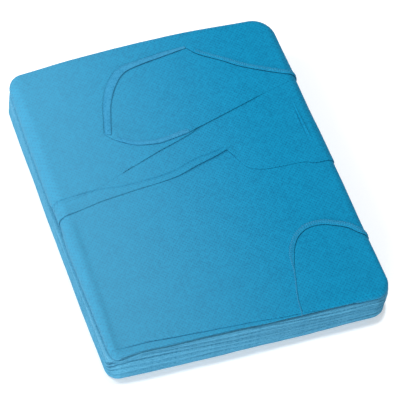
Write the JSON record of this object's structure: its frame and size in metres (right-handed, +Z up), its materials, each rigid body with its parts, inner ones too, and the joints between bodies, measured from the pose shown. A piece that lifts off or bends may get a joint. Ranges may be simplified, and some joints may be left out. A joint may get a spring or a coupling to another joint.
{
  "type": "folded visitor gown",
  "caption": "Disposable visitor gown of blue nonwoven cloth, folded into a flat rectangular block with its bound neckline and overlocked seams uppermost.",
  "frame": {"origin": "on the surface that the folded gown lies on, under the middle of its box", "axes": "+Z up out of the top of the block, +Y towards the end where the neckline lies, +X to the right when the neckline is at the far end"},
  "size_m": [0.3184, 0.3702, 0.0607],
  "materials": {
    "nonwoven": "matte spunbond nonwoven with a fine embossed point pattern",
    "nonwoven_stack": "matte spunbond nonwoven, seen at its folds",
    "binding": "matte nonwoven tape, folded over the edge",
    "seam_edge": "overlocked nonwoven edge with fine thread"
  },
  "bodies": {
    "root": {"folded_core": "nonwoven_stack", "front_panel_lower": "nonwoven", "sleeve_right": "nonwoven", "back_panel_left": "nonwoven", "front_panel_upper": "nonwoven", "back_panel_right": "nonwoven", "neck_binding": "binding", "neck_binding_lower": "binding", "shoulder_seam": "seam_edge", "armhole_seam": "seam_edge"}
  },
  "joints": []
}
